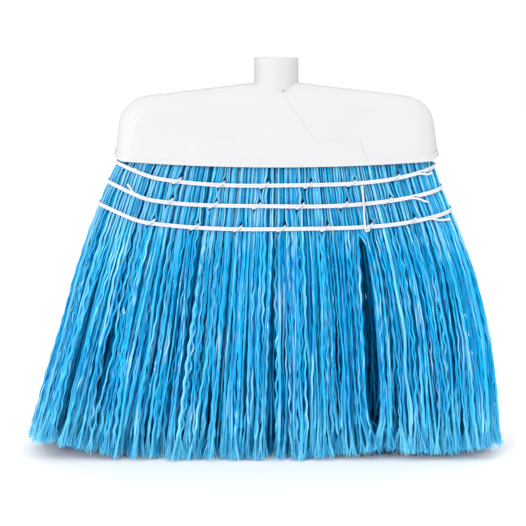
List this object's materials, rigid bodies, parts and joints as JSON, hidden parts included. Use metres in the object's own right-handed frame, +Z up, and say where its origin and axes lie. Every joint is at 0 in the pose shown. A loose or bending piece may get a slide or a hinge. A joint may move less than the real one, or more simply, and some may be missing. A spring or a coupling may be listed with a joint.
{
  "type": "curling broom",
  "caption": "Flared synthetic-fibre broom head: a moulded cap with a round handle socket, and a fan of crimped fibres bound by rows of stitched twine.",
  "frame": {"origin": "on the ground plane through the trimmed fibre tips, under the axis of the handle socket and in the middle of the head", "axes": "+Z up along the handle axis, +X across the fan, -Y towards the face with the loop of the linking twine"},
  "size_m": [0.3712, 0.0838, 0.308],
  "materials": {
    "cap_plastic": "satin moulded white plastic",
    "fibre": "crimped blue synthetic fibre with flagged tips",
    "fused_fibre": "melted blue fibre butts",
    "twine": "white twisted twine"
  },
  "bodies": {
    "root": {"cap_shell": "cap_plastic", "fused_fibre_block": "fused_fibre", "front_fibre_bundle_1": "fibre", "front_fibre_bundle_2": "fibre", "front_fibre_bundle_3": "fibre", "front_fibre_bundle_4": "fibre", "front_fibre_bundle_5": "fibre", "front_fibre_bundle_6": "fibre", "front_fibre_bundle_7": "fibre", "front_fibre_bundle_8": "fibre", "middle_fibre_bundle_1": "fibre", "middle_fibre_bundle_2": "fibre", "middle_fibre_bundle_3": "fibre", "middle_fibre_bundle_4": "fibre", "middle_fibre_bundle_5": "fibre", "middle_fibre_bundle_6": "fibre", "middle_fibre_bundle_7": "fibre", "middle_fibre_bundle_8": "fibre", "back_fibre_bundle_1": "fibre", "back_fibre_bundle_2": "fibre", "back_fibre_bundle_3": "fibre", "back_fibre_bundle_4": "fibre", "back_fibre_bundle_5": "fibre", "back_fibre_bundle_6": "fibre", "back_fibre_bundle_7": "fibre", "back_fibre_bundle_8": "fibre", "row_1_band_twine": "twine", "row_1_needle_thread": "twine", "row_2_band_twine": "twine", "row_2_needle_thread": "twine", "row_3_band_twine": "twine", "row_3_needle_thread": "twine", "link_twine": "twine"}
  },
  "joints": []
}
